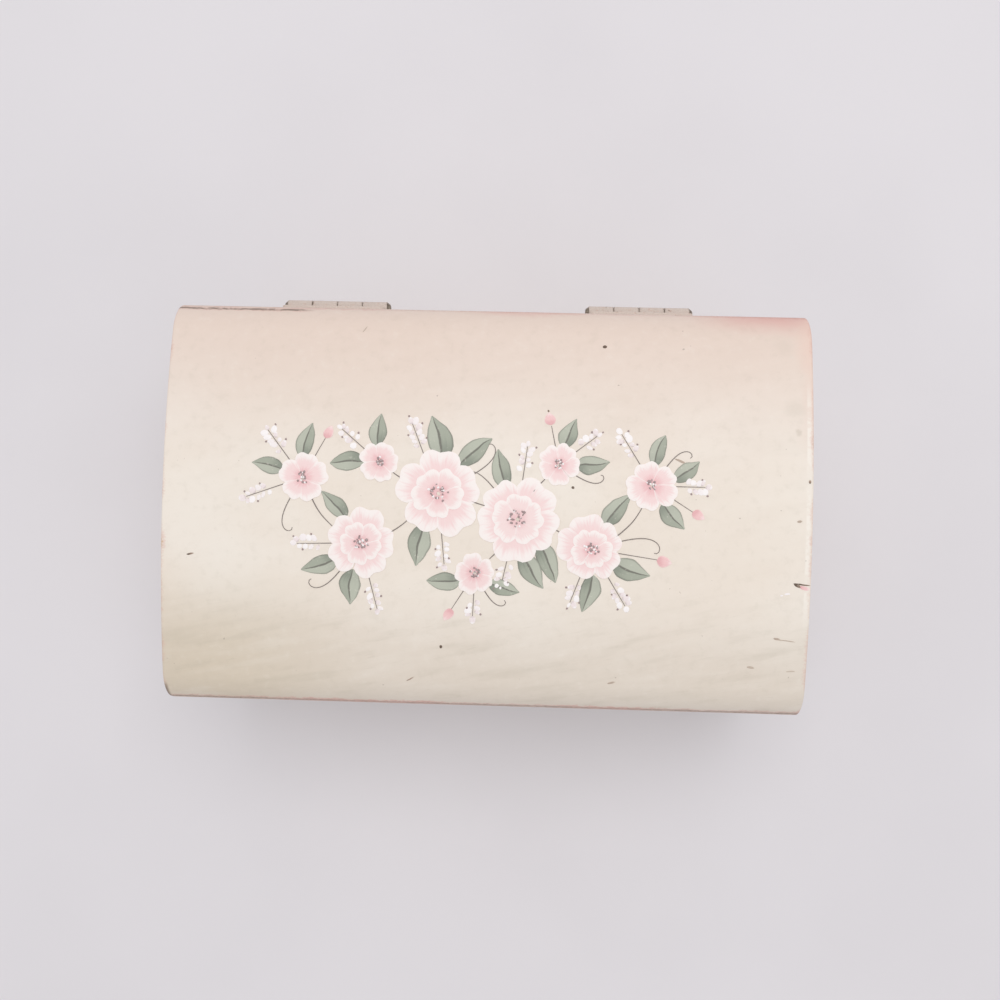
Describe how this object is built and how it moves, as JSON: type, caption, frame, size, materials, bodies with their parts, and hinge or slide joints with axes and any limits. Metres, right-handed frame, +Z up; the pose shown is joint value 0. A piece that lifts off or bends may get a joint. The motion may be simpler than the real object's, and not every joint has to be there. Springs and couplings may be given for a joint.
{
  "type": "trinket box",
  "caption": "Painted wooden trinket box: an open case with a hollow, cushion-domed lid that swings back on small butt hinges.",
  "frame": {"origin": "middle of the case's outline on the underside of the bottom panel", "axes": "+Z up through the crown of the lid, +X to the right along the lid's grain, -Y towards the front, hinges on +Y"},
  "size_m": [0.1524, 0.1, 0.0762],
  "materials": {
    "painted_wood": "old cream eggshell paint over wood, rubbed through at the edges",
    "bare_wood": "unfinished planed wood",
    "painted_hinge": "thin cream paint over plated steel, chipped at the joints",
    "worn_metal": "dull, tarnished plated steel"
  },
  "bodies": {
    "base": {"front_wall": "painted_wood", "back_wall": "painted_wood", "left_wall": "painted_wood", "right_wall": "painted_wood", "bottom_panel": "bare_wood", "left_hinge_base_leaf": "painted_hinge", "left_hinge_pin": "worn_metal", "left_hinge_base_screw_left": "worn_metal", "left_hinge_base_screw_right": "worn_metal", "right_hinge_base_leaf": "painted_hinge", "right_hinge_pin": "worn_metal", "right_hinge_base_screw_left": "worn_metal", "right_hinge_base_screw_right": "worn_metal"},
    "lid": {"lid_top": "painted_wood", "lid_front_rail": "painted_wood", "lid_back_rail": "painted_wood", "lid_left_end": "painted_wood", "lid_right_end": "painted_wood", "left_hinge_lid_leaf": "painted_hinge", "left_hinge_lid_screw_left": "worn_metal", "left_hinge_lid_screw_right": "worn_metal", "right_hinge_lid_leaf": "painted_hinge", "right_hinge_lid_screw_left": "worn_metal", "right_hinge_lid_screw_right": "worn_metal"}
  },
  "joints": [
    {"name": "lid_hinge", "type": "hinge", "parent": "base", "child": "lid", "pos_m": [0, 0.05005, 0.05475], "axis": [-1, 0, 0], "range_deg": [0, 190]}
  ]
}
